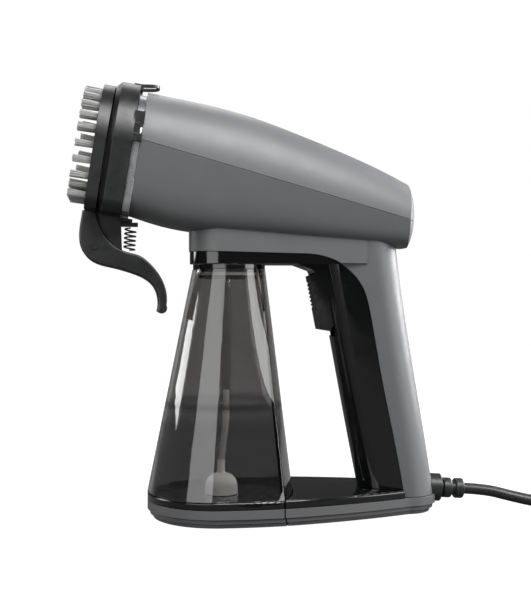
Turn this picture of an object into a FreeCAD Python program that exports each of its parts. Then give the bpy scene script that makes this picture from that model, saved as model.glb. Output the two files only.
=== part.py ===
import FreeCAD, Part
import math
import os
from FreeCAD import Vector

# Handheld garment steamer with a drop-in water tank and a clip-on fabric brush.
# Millimetres. +Z up, the steam head points along -X, the object is symmetric about Y = 0.
# The origin is on the floor, under the middle of the object's length.

os.makedirs("parts", exist_ok=True)

# Driving dimensions
wall = 2.4                   # moulded wall thickness of the housing
seam = 0.3                   # visible joint between two mouldings

face_tilt = 9.0              # degrees that the steam face leans back
face_x = -77.1               # steam face centre
face_z = 237.0
part_x, part_z, part_slope = -74.7, 239.8, -0.272    # parting line of the top cover

belly_x, belly_z = -46.0, 186.0      # underside of the head, where the neck starts
neck_half_width = 21.0
neck_front_x = -44.5
roof_low, roof_high = 164.4, 172.6   # black roof over the tank
split_low = 164.8            # the neck's sides reach down to here, behind the roof

tank_top_z = 163.6
tank_top_x, tank_top_r = -18.2, 23.4
tank_low_x, tank_low_r = -24.6, 46.8
rear_wall_r = 97.75                  # convex rear wall of the tank, in plan
rear_wall_x = 22.6                   # its middle

deck_z = 17.2                        # top of the base
skirt_z = 11.8                       # top of the grey skirt
base_clear = 0.8                     # the base plates stand this far above the floor
rib_z, rib_in, rib_gap = (3.3, 6.2), (1.7, 3.6), 0.6     # the skirt's ribs: tops, insets, grooves
skirt_wall = 6.6
corner_x, corner_y = 11.5, 45.6      # where the tank's rear corner meets the base
rear_x, rear_r = 120.6, 21.0         # rear end of the base

ring_out = 4.6                       # thickness of the steam ring, out of the face
frame_in, frame_out = 5.0, 19.8      # brush frame, distances out of the face
jaw_in, jaw_out = 20.5, 27.9         # brush plate
bristle_length = 12.0
pivot_x, pivot_z = -104.8, 175.0     # jaw pivot
pin_r = 2.0

dock_z, dock_top = 168.0, 171.0      # water coupling, and the top of the recess for the tank's neck
dock_r, socket_r, nozzle_r = 11.8, 3.6, 2.8
tube_x, filter_x = -20.2, -23.4      # suction tube under the coupling, and the filter it ends in

trigger_half = 8.0
trigger_pin_x, trigger_pin_z, trigger_pin_r = 51.0, 153.0, 1.5
trigger_spring_z, spring_back_x = 128.0, 66.0

cord_r = 3.75
cord_exit = (141.0, 0.0, 13.4)
coil_x, coil_y, coil_r = 260.0, 30.8, 45.0     # middle of the coil and of its turns
coil_lift = 0.9                      # the tie's thickness under the coil
coil_layers, coil_columns = 3, 2
plug_half_x, plug_half_y, plug_half_z = 17.0, 12.5, 8.0
plug_x, plug_y = 13.0, -30.3         # middle of the plug's body, from the middle of the coil
plug_tail = 12.0
plug_pin_r, plug_pin_length, plug_pin_y = 2.0, 19.0, 9.5

boss_spots = [(-30.0, 196.0), (30.0, 187.5), (90.0, 190.0), (91.0, 128.0), (98.0, 56.0)]   # x, z
boss_r, screw_r = 3.6, 1.4
base_screw_spots = [(36.0, 30.0), (36.0, -30.0), (76.0, 18.0), (76.0, -18.0)]              # x, y
tank_feet_spots = [(-54.0, 0.0), (-4.0, 32.0), (-4.0, -32.0)]
rear_feet_spots = [(38.0, 20.0), (38.0, -20.0), (102.0, 0.0)]
foot_r = 5.0


# Helpers
def fused(shapes):
    result = shapes[0]
    if len(shapes) > 1:
        result = shapes[0].multiFuse(shapes[1:])
    return result.removeSplitter()


def save(name, shape):
    """Write one sub-part, and stop if any of its solids is open or empty."""
    if not shape.Solids or not shape.isValid():
        raise ValueError(name + " is not a valid solid")
    body = Part.makeCompound(shape.Solids) if len(shape.Solids) > 1 else shape.Solids[0]
    body.exportStep("parts/" + name + ".step")
    print(name, len(shape.Solids), "solid(s)", round(shape.Volume), "mm3")


def box(x0, x1, y0, y1, z0, z1):
    return Part.makeBox(x1 - x0, y1 - y0, z1 - z0, Vector(x0, y0, z0))


def rod(r, start, end):
    """A cylinder between two points."""
    axis = Vector(*end) - Vector(*start)
    return Part.makeCylinder(r, axis.Length, Vector(*start), axis)


def closed(points):
    """A closed wire of straight edges."""
    return Part.makePolygon(points + [points[0]])


def arc(a, b, c):
    return Part.Arc(a, b, c).toShape()


def side_plate(points, y0, y1):
    """A straight-edged outline in the XZ plane, given a thickness along Y."""
    wire = closed([Vector(x, y0, z) for x, z in points])
    return Part.Face(wire).extrude(Vector(0, y1 - y0, 0))


def softened(shape, radius, chosen):
    """Round the edges that chosen() accepts, or leave the shape as it is."""
    edges = [e for e in shape.Edges if chosen(e)]
    try:
        result = shape.makeFillet(radius, edges)
        if result.isValid() and result.Volume > 0:
            return result
    except Exception:
        print("an edge stays sharp, radius", radius)
    return shape


# Steam face: a tilted frame with a along Y, b up the face and c out of it
tilt = math.radians(face_tilt)
face_matrix = FreeCAD.Matrix(
    0, math.sin(tilt), -math.cos(tilt), face_x,
    -1, 0, 0, 0,
    0, math.cos(tilt), math.sin(tilt), face_z,
    0, 0, 0, 1)
face_place = FreeCAD.Placement(face_matrix)


def on_face(shape):
    moved = shape.copy()
    moved.Placement = face_place.multiply(moved.Placement)
    return moved


def face_point(a, b, c):
    return face_matrix.multVec(Vector(a, b, c))


def arched(half, top, bottom, low_half, corner, c):
    """The outline shared by the head's front parts: an arch over nearly straight sides."""
    spring = 1.0
    arch = Part.Ellipse(Vector(0, top, c), Vector(half, spring, c), Vector(0, spring, c))
    right = Vector(half, spring, c)
    left = Vector(-half, spring, c)
    bend = corner * (1 - math.sqrt(0.5))
    wall_end, floor_end = bottom + corner, low_half - corner
    edges = [
        Part.Arc(arch, -math.pi / 2, math.pi / 2).toShape(),
        Part.makeLine(right, Vector(low_half, wall_end, c)),
        arc(Vector(low_half, wall_end, c), Vector(low_half - bend, bottom + bend, c),
            Vector(floor_end, bottom, c)),
        Part.makeLine(Vector(floor_end, bottom, c), Vector(-floor_end, bottom, c)),
        arc(Vector(-floor_end, bottom, c), Vector(bend - low_half, bottom + bend, c),
            Vector(-low_half, wall_end, c)),
        Part.makeLine(Vector(-low_half, wall_end, c), left)]
    return Part.Wire(Part.__sortEdges__(edges))


def arched_block(inset, c0, c1, half=33.0, top=37.6, bottom=-43.2, low_half=29.0, corner=9.0):
    wire = arched(half - inset, top - inset, bottom + inset, low_half - inset,
                  max(corner - inset, 1.5), c0)
    return Part.Face(wire).extrude(Vector(0, 0, c1 - c0))


# Head: two lofts that meet on the sloping parting plane
head_stations = [
    # x, top, half width
    (-98.0, 278.4, 33.2),
    (-67.2, 274.3, 33.0),
    (-36.0, 268.6, 32.8),
    (-4.0, 260.9, 32.2),
    (27.8, 249.9, 31.0),
    (60.0, 237.4, 29.2),
    (90.0, 224.0, 27.2),
    (112.0, 213.0, 25.6)]


def parting(x):
    return part_z + part_slope * (x - part_x)


def belly(x):
    slope = -0.24 if x < belly_x else -0.07
    return belly_z + slope * (x - belly_x)


def cover_loft(inset, lift):
    """The crown of the head: half ellipses standing on the parting plane."""
    wires = []
    for x, top, half in head_stations:
        low = parting(x) + lift
        w = half - inset
        high = top - inset
        h = high - parting(x)
        steps = 10
        points = []
        for i in range(steps + 1):
            angle = math.pi * i / steps
            across = math.copysign(abs(math.cos(angle)) ** 0.94, math.cos(angle))
            points.append(Vector(x, w * across, parting(x) + h * math.sin(angle)))
        points = [Vector(x, w, low)] + points[1:-1] + [Vector(x, -w, low)]
        curve = Part.BSplineCurve()
        curve.interpolate(points)
        wires.append(Part.Wire([curve.toShape(), Part.makeLine(points[-1], points[0])]))
    return Part.makeLoft(wires, True, False)


def under_loft(inset, lift):
    """The lower half of the head: sides that lean in, round into a flat belly."""
    wires = []
    fractions = [0.0, 0.2, 0.4, 0.6, 0.76, 0.89, 0.97, 1.0]
    for x, _, half in head_stations:
        high = parting(x) + lift
        low = belly(x) + inset
        right = []
        for v in fractions:
            y = (half - inset) * (1 - 0.15 * v) * (1 - v ** 5) ** 0.2
            right.append(Vector(x, y, high + (low - high) * v))
        left = [Vector(x, -p.y, p.z) for p in reversed(right[:-1])]
        curve = Part.BSplineCurve()
        curve.interpolate(right + left)
        wires.append(Part.Wire([curve.toShape(), Part.makeLine(left[-1], right[0])]))
    return Part.makeLoft(wires, True, False)


rear_contour = [
    # z, rearmost x
    (150.0, 93.5),
    (168.0, 95.5),
    (178.0, 101.4),
    (187.0, 104.1),
    (199.0, 105.0),
    (211.0, 103.4),
    (220.0, 99.4),
    (240.0, 86.0),
    (300.0, 20.0)]


def head_trim(inset):
    """Everything in front of the head's rounded rear end and behind its steam face."""
    wires = []
    for z, x in rear_contour:
        x = x - inset
        side, sweep, front = 46.0, 30.0, -130.0
        a, b = Vector(x - sweep, side, z), Vector(x - sweep, -side, z)
        wires.append(Part.Wire([
            arc(a, Vector(x, 0, z), b),
            Part.makeLine(b, Vector(front, -side, z)),
            Part.makeLine(Vector(front, -side, z), Vector(front, side, z)),
            Part.makeLine(Vector(front, side, z), a)]))
    rear = Part.makeLoft(wires, True, False)
    behind_face = on_face(Part.makeBox(140, 240, 300, Vector(-70, -120, -300)))
    return rear.common(behind_face)


# Neck and handle: horizontal sections from the floor up into the head
handle_stations = [
    # z, front x, rear x, half width
    (0.0, 71.0, 120.6, 21.0),
    (29.4, 65.0, 116.6, 20.2),
    (71.6, 56.8, 109.6, 19.4),
    (119.7, 48.0, 101.4, 19.2),
    (161.0, 40.4, 95.4, 19.8),
    (184.0, 36.0, 93.0, 20.4)]


def handle_loft(inset, z0, z1):
    wires = []
    for z, front, rear, half in handle_stations:
        nose, tail = 11.0, 19.0
        f, r, w = front + inset, rear - inset, half - inset
        narrow = w * 0.84
        a, b = Vector(f + nose, narrow, z), Vector(f + nose, -narrow, z)
        p, q = Vector(r - tail, w, z), Vector(r - tail, -w, z)
        wires.append(Part.Wire([
            arc(b, Vector(f, 0, z), a), Part.makeLine(a, p),
            arc(p, Vector(r, 0, z), q), Part.makeLine(q, b)]))
    loft = Part.makeLoft(wires, True, False)
    return loft.common(box(-20, 160, -60, 60, z0, z1))


def keel(inset, z0, z1):
    """The neck under the head, with a round nose, reaching back to the handle."""
    w = neck_half_width - inset
    front, back = neck_front_x + inset, 70.0
    round_x = front + neck_half_width
    wire = Part.Wire([
        arc(Vector(round_x, w, z0), Vector(front, 0, z0), Vector(round_x, -w, z0)),
        Part.makeLine(Vector(round_x, -w, z0), Vector(back, -w + 0.8, z0)),
        Part.makeLine(Vector(back, -w + 0.8, z0), Vector(back, w - 0.8, z0)),
        Part.makeLine(Vector(back, w - 0.8, z0), Vector(round_x, w, z0))])
    return Part.Face(wire).extrude(Vector(0, 0, z1 - z0))


# Base plan: round in front, tapering to the handle, round behind
def base_plan(z):
    front = Vector(tank_low_x, tank_low_r, z)
    corner = Vector(corner_x, corner_y, z)
    rear = Vector(rear_x - rear_r, rear_r, z)

    def flip(p):
        return Vector(p.x, -p.y, p.z)

    side_a = Vector((tank_low_x + corner_x) / 2, tank_low_r + 0.1, z)
    side_b = Vector(57.0, 35.6, z)
    return Part.Wire([
        arc(flip(front), Vector(tank_low_x - tank_low_r, 0, z), front),
        arc(front, side_a, corner),
        arc(corner, side_b, rear),
        arc(rear, Vector(rear_x, 0, z), flip(rear)),
        arc(flip(rear), flip(side_b), flip(corner)),
        arc(flip(corner), flip(side_a), flip(front))])


def base_slab(inset, z0, z1):
    wire = base_plan(z0)
    if inset:
        wire = wire.makeOffset2D(-inset)
    return Part.Face(wire).extrude(Vector(0, 0, z1 - z0))


def rear_wall(gap, z0, z1):
    """The column whose rear half is the tank's convex rear wall."""
    r = rear_wall_r + gap
    return Part.makeCylinder(r, z1 - z0, Vector(rear_wall_x - rear_wall_r, 0, z0))


def stepped_skirt():
    """The grey band round the foot, over two ribs that step inwards."""
    band = base_slab(0, rib_z[1], skirt_z)
    upper = base_slab(rib_in[0], rib_z[0], rib_z[1] - rib_gap)
    lower = base_slab(rib_in[1], 0.4, rib_z[0] - rib_gap)
    core = base_slab(rib_in[1] + 0.8, 0.4, skirt_z)
    lower = softened(lower, 1.0, lambda e: e.BoundBox.ZMax < 0.41)
    return fused([band, upper, lower, core])


# Black parts of the body lie under and in front of this line, in side view
split_line = [(-60.0, 172.6), (26.0, 170.8), (38.0, 169.9), (50.0, 166.0), (60.3, 158.6),
              (67.6, 148.6), (72.0, 134.0), (75.6, 114.5), (80.2, 88.6), (87.5, 52.5),
              (94.4, 14.0), (97.0, -6.0)]


def black_region(gap):
    curve = Part.BSplineCurve()
    curve.interpolate([Vector(x + gap * 0.7, -80, z + gap * 0.7) for x, z in split_line[1:]])
    start = Vector(split_line[0][0], -80, split_line[0][1] + gap * 0.7)
    second = curve.StartPoint
    end = curve.EndPoint
    low = -40.0
    wire = Part.Wire([
        Part.makeLine(start, second), curve.toShape(),
        Part.makeLine(end, Vector(end.x, -80, low)),
        Part.makeLine(Vector(end.x, -80, low), Vector(start.x, -80, low)),
        Part.makeLine(Vector(start.x, -80, low), start)])
    return Part.Face(wire).extrude(Vector(0, 160, 0))


def housing():
    trim = head_trim(0)
    under = under_loft(0, -seam / 2).common(trim)
    inner_under = under_loft(wall, 4.0).common(head_trim(wall))
    body = handle_loft(0, skirt_z + seam, 180.0).fuse(keel(0, split_low, 192.0))
    hollow = handle_loft(wall, 0.0, 180.5).fuse(keel(wall, roof_high - 6, 196.0))
    outer = fused([under, body])
    inner = inner_under.fuse(hollow)
    shell = outer.cut(inner).cut(black_region(seam))
    bosses = []
    for x, z in boss_spots:
        bosses.append(rod(boss_r, (x, -40, z), (x, 40, z)).common(outer))
    shell = shell.fuse(Part.makeCompound(bosses)).cut(black_region(seam))
    for x, z in boss_spots:
        shell = shell.cut(rod(screw_r, (x, -12, z), (x, 8, z)))
        shell = shell.cut(rod(2.8, (x, 8, z), (x, 60, z)))
    shell = shell.cut(cord_hole())
    left = shell.common(box(-120, 160, seam / 4, 80, 0, 320))
    right = shell.common(box(-120, 160, -80, -seam / 4, 0, 320))
    return biggest(left), biggest(right)


def cord_hole():
    """Where the strain relief goes through the rear wall."""
    return rod(6.0, (100, 0, 15.0), (130, 0, 15.0))


def biggest(shape):
    return max(shape.Solids, key=lambda s: s.Volume)


def top_cover():
    outer = cover_loft(0, seam / 2).common(head_trim(0))
    inner = cover_loft(wall, -4.0).common(head_trim(wall))
    return biggest(outer.cut(inner))


def inner_frame():
    """Glossy black moulding: the roof over the tank and the front of the grip."""
    inset = 0.6
    outer = handle_loft(inset, deck_z + seam, 176.0)
    roof = keel(inset, roof_low, roof_high)
    arch = side_plate([(20.0, roof_low + 2), (36.0, 160.5), (43.0, 146.0), (52.0, 140.0),
                       (60.0, roof_low + 3)], -13.0, 13.0)
    outer = outer.fuse(roof).fuse(arch).common(black_region(0))
    hollow = handle_loft(inset + wall, 0.0, 162.0)
    frame = outer.cut(hollow).cut(dock_recess())
    # Carriers for the trigger's pin and a rib behind its spring
    carriers = rod(3.2, (trigger_pin_x, -18, trigger_pin_z), (trigger_pin_x, 18, trigger_pin_z))
    rib = box(spring_back_x, spring_back_x + 2.4, -19, 19, trigger_spring_z - 5, trigger_spring_z + 5)
    frame = frame.fuse(carriers.fuse(rib).common(outer))
    frame = frame.cut(side_plate([(28.0, 158.6), (28.0, 119.2), (48.0, 117.0), (spring_back_x, 119.0),
                                  (spring_back_x, 158.6)], -trigger_half - 0.6, trigger_half + 0.6))
    frame = frame.cut(rod(trigger_pin_r + 0.05, (trigger_pin_x, -12, trigger_pin_z),
                          (trigger_pin_x, 12, trigger_pin_z)))
    frame = frame.cut(rod(nozzle_r + 0.1, (tube_x, 0, dock_z), (tube_x, 0, dock_z + 12)))
    return biggest(frame)


def dock_recess():
    """The round recess in the roof that the tank's neck pushes up into."""
    return rod(dock_r, (tube_x, 0, roof_low - 2), (tube_x, 0, dock_top))


# Base
def base_parts():
    wall_gap = rear_wall(seam + 0.5, -1, 40)
    slab = base_slab(0, skirt_z + seam, deck_z)
    slab = softened(slab, 1.6, lambda e: e.BoundBox.ZMin > deck_z - 0.01)
    deck = slab.cut(wall_gap).cut(base_slab(wall, skirt_z - 1, deck_z - wall))
    deck = deck.cut(wall_gap)
    front_wall = base_slab(0.4, skirt_z + seam, deck_z - 1).cut(wall_gap)
    front_wall = front_wall.common(rear_wall(3.2, -1, 40))
    deck = deck.fuse(front_wall)
    deck = deck.cut(handle_loft(wall, 0, 60)).common(black_region(0))
    skirt = stepped_skirt().cut(cord_hole())
    ring = skirt.cut(base_slab(skirt_wall, 0, skirt_z + 1)).cut(wall_gap)
    front = base_slab(rib_in[1], base_clear, skirt_z).cut(wall_gap).common(rear_wall(3.2, -1, 40))
    ring = ring.fuse(front)
    plate = base_slab(skirt_wall + 0.25, base_clear, base_clear + 2.4).cut(rear_wall(3.6, -1, 40))
    bosses = [rod(3.2, (x, y, base_clear + 2.4), (x, y, deck_z - wall)) for x, y in base_screw_spots]
    deck = deck.fuse(Part.makeCompound(bosses))
    for x, y in rear_feet_spots:
        plate = plate.cut(rod(foot_r + 0.2, (x, y, -1), (x, y, 2.0)))
    for x, y in base_screw_spots:
        deck = deck.cut(rod(1.3, (x, y, 0), (x, y, deck_z - wall - 1)))
        plate = plate.cut(rod(1.8, (x, y, -1), (x, y, 10)))
        plate = plate.cut(rod(3.2, (x, y, -1), (x, y, base_clear + 1.2)))
    return biggest(deck), biggest(ring), biggest(plate)


def pan_screw(r, head_r, start, end, head_height):
    """A screw from its head's top to its tip."""
    axis = (Vector(*end) - Vector(*start)).normalize()
    shank = rod(r, start, end)
    neck = Vector(*start) + axis * head_height
    head = rod(head_r, start, (neck.x, neck.y, neck.z))
    slot = rod(0.7, start, tuple(Vector(*start) + axis * (head_height * 0.6)))
    return head.fuse(shank).cut(slot).removeSplitter()


# Tank
def tank_section(z, inset):
    """A round front, nearly straight sides and a convex rear wall."""
    f = (tank_top_z - z) / (tank_top_z - deck_z)
    cx = tank_top_x + (tank_low_x - tank_top_x) * f
    r = tank_top_r + (tank_low_r - tank_top_r) * f - inset
    # The rear corner runs from a point on the top circle down to the base's corner
    bend = math.radians(52)
    kx = tank_top_x + tank_top_r * math.sin(bend)
    ky = tank_top_r * math.cos(bend)
    kx, ky = kx + (corner_x - kx) * f, ky + (corner_y - ky) * f
    rear = (tank_top_x + tank_top_r) + (rear_wall_x - tank_top_x - tank_top_r) * f
    kx, ky, rear = kx - inset * 0.9, ky - inset * 0.9, rear - inset
    mid = Vector((cx + kx) / 2, (r + ky) / 2 + (0.2 + 3.6 * (1 - f)), z)
    a, k = Vector(cx, r, z), Vector(kx, ky, z)

    def flip(p):
        return Vector(p.x, -p.y, p.z)

    return Part.Wire([
        arc(flip(a), Vector(cx - r, 0, z), a), arc(a, mid, k),
        arc(k, Vector(rear, 0, z), flip(k)), arc(flip(k), flip(mid), flip(a))])


def tank_loft(inset, z0, z1):
    return Part.makeLoft([tank_section(z0, inset), tank_section(z1, inset)], True, True)


def tank_parts():
    skin = 2.2
    shell = tank_loft(0, deck_z - 0.2, tank_top_z - 3.0)
    shell = softened(shell, 2.0, lambda e: e.BoundBox.ZLength > 100 and e.BoundBox.XMin > -10)
    shell = shell.cut(tank_loft(skin, deck_z - 1, tank_top_z - 2))
    parts = {"tank_shell": biggest(shell)}
    column = rear_wall(-0.1, -1, 60)
    rim = base_slab(0, skirt_z + seam, deck_z - 0.5).common(column)
    rim = softened(rim, 1.0, lambda e: e.BoundBox.ZMin > deck_z - 0.6)
    rim = rim.cut(base_slab(3.6, deck_z - 3.0, deck_z + 1).common(rear_wall(-3.6, -1, 60)))
    parts["tank_rim"] = biggest(rim)
    skirt = stepped_skirt().common(column)
    skirt = skirt.cut(base_slab(skirt_wall, 3.4, skirt_z + 1).common(rear_wall(-wall, -1, 60)))
    for x, y in tank_feet_spots:
        skirt = skirt.cut(rod(foot_r + 0.2, (x, y, -1), (x, y, 1.4)))
    parts["tank_skirt"] = biggest(skirt)
    # Cap: a disc over the cone, a plug inside it and a neck with the water socket behind
    low, high = tank_top_z - 2.8, tank_top_z + 0.3
    top_skin = tank_top_r - 2.2
    cap = rod(tank_top_r + 0.2, (tank_top_x, 0, low), (tank_top_x, 0, high))
    cap = cap.fuse(rod(top_skin - 1.2, (tank_top_x, 0, low - 6), (tank_top_x, 0, low)))
    cap = cap.fuse(rod(dock_r - 0.7, (tube_x, 0, high - 1), (tube_x, 0, dock_top - 0.5)))
    cap = cap.cut(rod(top_skin - 3.2, (tank_top_x, 0, low - 7), (tank_top_x, 0, low - 1)))
    cap = cap.cut(rod(socket_r, (tube_x, 0, low + 0.6), (tube_x, 0, dock_top)))
    cap = cap.cut(rod(1.6, (tube_x, 0, low - 2), (tube_x, 0, dock_z)))
    parts["tank_cap"] = cap.removeSplitter()
    seal = rod(top_skin - 0.3, (tank_top_x, 0, low - 4), (tank_top_x, 0, low - 2))
    parts["tank_cap_seal"] = seal.cut(rod(top_skin - 1.2, (tank_top_x, 0, low - 5), (tank_top_x, 0, low)))
    parts["outlet_valve"] = rod(socket_r - 0.05, (tube_x, 0, low + 0.7), (tube_x, 0, low + 3.2))
    wide = rod(3.3, (tube_x, 0, 69.0), (tube_x, 0, low - 1.0))
    parts["suction_tube"] = wide.cut(rod(2.1, (tube_x, 0, 60.0), (tube_x, 0, low)))
    hose_route = [(tube_x, 0, 82.0), (tube_x, 0, 62.0), (tube_x - 1.8, 0, 47.0), (filter_x, 0, 34.0)]
    parts["suction_hose"] = tube_along(hose_route, 2.0).cut(tube_along(hose_route, 1.1))
    parts["filter_weight"] = filter_weight()
    feet = [rod(foot_r, (x, y, 0), (x, y, 1.4)) for x, y in tank_feet_spots]
    parts["tank_feet"] = Part.makeCompound(feet)
    return parts


def filter_weight():
    """A bell-shaped weight with a hose stub, hollow underneath."""
    z = 14.5
    outline = [Vector(filter_x, 0, z + 3), Vector(filter_x + 9.0, 0, z + 3), Vector(filter_x + 9.6, 0, z),
               Vector(filter_x + 10.7, 0, z), Vector(filter_x + 10.5, 0, z + 5)]
    shoulder = arc(outline[-1], Vector(filter_x + 7.6, 0, z + 11.2), Vector(filter_x + 2.7, 0, z + 13.4))
    stub = [Vector(filter_x + 2.7, 0, z + 13.4), Vector(filter_x + 2.7, 0, z + 22.0),
            Vector(filter_x + 2.05, 0, z + 22.0), Vector(filter_x + 2.05, 0, z + 18.0),
            Vector(filter_x, 0, z + 18.0), outline[0]]
    wire = Part.Wire([Part.makePolygon(outline), shoulder, Part.makePolygon(stub)])
    return Part.Face(wire).revolve(Vector(filter_x, 0, 0), Vector(0, 0, 1), 360)


# Cord and hoses: straight runs joined by tangent arcs
def route_arcs(points):
    """Each inner point of a route, with where its arc starts and ends, and the radius."""
    p = [Vector(*q) for q in points]
    arcs = []
    for before, here, after in zip(p, p[1:], p[2:]):
        into, out = here - before, after - here
        turn = into.getAngle(out)
        reach = 0.45 * min(into.Length, out.Length)
        start = here - into.normalize() * reach
        end = here + out.normalize() * reach
        radius = reach / math.tan(turn / 2)
        arcs.append((here, start, end, radius))
    return arcs


def route_wire(points):
    edges = []
    last = Vector(*points[0])
    for here, start, end, radius in route_arcs(points):
        edges.append(Part.LineSegment(last, start).toShape())
        centre_way = ((start + end) * 0.5 - here).normalize()
        half_turn = math.atan2((start - here).Length, radius)
        to_centre = math.hypot(radius, (start - here).Length)
        middle = here + centre_way * (to_centre - radius)
        if half_turn > 1e-4:
            edges.append(Part.Arc(start, middle, end).toShape())
        last = end
    edges.append(Part.LineSegment(last, Vector(*points[-1])).toShape())
    return Part.Wire(edges)


def tube_along(points, radius):
    path = route_wire(points)
    first = Vector(*points[0])
    circle = Part.Circle(first, Vector(*points[1]) - first, radius)
    section = Part.Wire(circle.toShape())
    return path.makePipeShell([section], True, False)


# Steam end: boiler, plate and ring
def steam_parts():
    parts = {}
    ring = arched_block(0.5, 0.05, ring_out)
    parts["steam_ring"] = ring.cut(arched_block(5.0, -1, ring_out + 1))
    plate = arched_block(5.4, 0.05, 3.4)
    for a, b in steam_holes():
        plate = plate.cut(rod(1.2, (a, b, -3), (a, b, 6)))
    parts["steam_plate"] = plate
    seal = arched_block(4.0, -3.6, -0.1, corner=17.0)
    parts["steam_seal"] = seal.cut(arched_block(5.7, -5, 1, corner=17.0))
    size = dict(half=26.5, top=31.0, bottom=-33.0, low_half=20.0, corner=9.0)
    boiler = arched_block(0, -32.0, -1.3, **size)
    parts["boiler_body"] = boiler.cut(arched_block(4.0, -24.0, 0, **size))
    parts["boiler_cover"] = arched_block(0, -36.0, -32.2, **size)
    leg, r = 12.0, 3.2
    bend_at, back = 6.0, -39.4
    bow = arc(Vector(leg, bend_at, back), Vector(0, bend_at + leg, back), Vector(-leg, bend_at, back))
    path = Part.Wire([Part.makeLine(Vector(leg, -30, back), Vector(leg, bend_at, back)), bow,
                      Part.makeLine(Vector(-leg, bend_at, back), Vector(-leg, -30, back))])
    section = Part.Wire(Part.Circle(Vector(leg, -30, back), Vector(0, 1, 0), r).toShape())
    parts["heating_element"] = path.makePipeShell([section], True, False)
    thermostat = rod(7.5, (0, -14, -36.2), (0, -14, -42)).fuse(rod(4.5, (0, -14, -42), (0, -14, -46)))
    parts["thermostat"] = thermostat
    parts["thermal_fuse"] = rod(2.2, (0, 1, -38.6), (0, 13, -38.6))
    return {name: on_face(shape) for name, shape in parts.items()}


def steam_holes():
    """Three arcs of holes that follow the plate's outline, and a straight column."""
    spots = []
    for reach in (9.0, 17.0, 23.5):
        count = int(reach / 3.2)
        for i in range(-count, count + 1):
            angle = math.pi / 2 * i / count
            spots.append((reach * math.sin(angle), 4 + reach * 1.05 * math.cos(angle)))
    for row in range(4):
        for side in (-20.0, -10.0, 0.0, 10.0, 20.0):
            spots.append((side, -5.0 - 8.5 * row))
    return spots


# Water and power, inside the body
def inner_parts():
    parts = {}
    pump_z = 208.0
    pump = rod(12.0, (22, 0, pump_z), (62, 0, pump_z)).fuse(rod(7.0, (62, 0, pump_z), (68, 0, pump_z)))
    pump = pump.fuse(rod(2.6, (14, -6, pump_z), (22, -6, pump_z)))
    pump = pump.fuse(rod(2.6, (14, 6, pump_z), (22, 6, pump_z)))
    parts["water_pump"] = pump.removeSplitter()
    mounts = []
    for x in (26.0, 50.0):
        ring = rod(15.0, (x, 0, pump_z), (x + 6, 0, pump_z))
        mounts.append(ring.cut(rod(12.1, (x - 1, 0, pump_z), (x + 7, 0, pump_z))))
    parts["pump_mounts"] = Part.makeCompound(mounts)
    nozzle = rod(nozzle_r, (tube_x, 0, dock_z - 2.6), (tube_x, 0, dock_z + 10))
    nozzle = nozzle.fuse(rod(5.0, (tube_x, 0, roof_high + 0.1), (tube_x, 0, roof_high + 1.6)))
    nozzle = nozzle.cut(rod(1.5, (tube_x, 0, dock_z - 5), (tube_x, 0, dock_z + 12)))
    o_ring = Part.makeTorus(nozzle_r, 0.6, Vector(tube_x, 0, dock_z), Vector(0, 0, 1))
    parts["dock_nozzle"] = nozzle.cut(o_ring)
    parts["dock_o_ring"] = o_ring
    parts["pump_inlet_hose"] = tube_along(
        [(tube_x, 0, dock_z + 10.2), (tube_x, 0, 187.0), (-14.0, -2.0, 197.0), (-2.0, -5.0, 204.0),
         (13.2, -6.0, pump_z)], 2.4)
    end = face_point(0, 26.0, -37.4)
    parts["pump_outlet_hose"] = tube_along(
        [(13.2, 6.0, pump_z), (2.0, 6.0, 210.0), (-8.0, 5.0, 222.0), (-17.0, 3.0, 238.0),
         (-26.0, 1.0, 250.0), (end.x, end.y, end.z)], 2.4)
    board = box(70, 92, 3.0, 4.6, 60, 112)
    board = board.fuse(box(74, 88, -6, 3.1, 92, 106)).fuse(rod(4.0, (80, 3.1, 74), (80, -8, 74)))
    parts["control_board"] = board.removeSplitter()
    switch = box(62, 76, -5, 5, 137, 149).fuse(box(60.6, 62.1, -1.2, 1.2, 141, 143))
    parts["trigger_switch"] = switch.removeSplitter()
    parts["terminal_block"] = box(84, 100, -8, 8, 30, 40).cut(rod(2.0, (88, -9, 35), (88, 9, 35)))
    parts["cord_clamp"] = box(104, 110, -8, 8, deck_z + 3, deck_z + 6)
    return parts


def relief():
    """Ribbed strain relief: a flange on the rear wall and two ribs, tapering to the cord."""
    sag = 0.07

    def at(x):
        return (x, 0, cord_exit[2] + (cord_exit[0] - x) * sag)

    flange = rod(9.2, at(114.0), at(124.2)).cut(handle_loft(-0.05, 0, 60))
    flange = flange.cut(base_slab(-0.05, -1, skirt_z + seam))
    core = rod(4.7, at(112.0), at(cord_exit[0]))
    ribs = [rod(6.7, at(x), at(x + 6.0)) for x in (126.2, 134.6)]
    ribs = [softened(rib, 1.2, lambda e: e.Length > 30) for rib in ribs]
    whole = flange.fuse(core).multiFuse(ribs).removeSplitter()
    return biggest(whole)


# Trigger
trigger_outline = [(34.2, 156.6), (36.6, 157.8), (52.0, 157.8), (56.0, 152.0), (56.0, 124.0),
                   (49.6, 123.6), (48.2, 120.4), (41.0, 121.6)]


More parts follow.
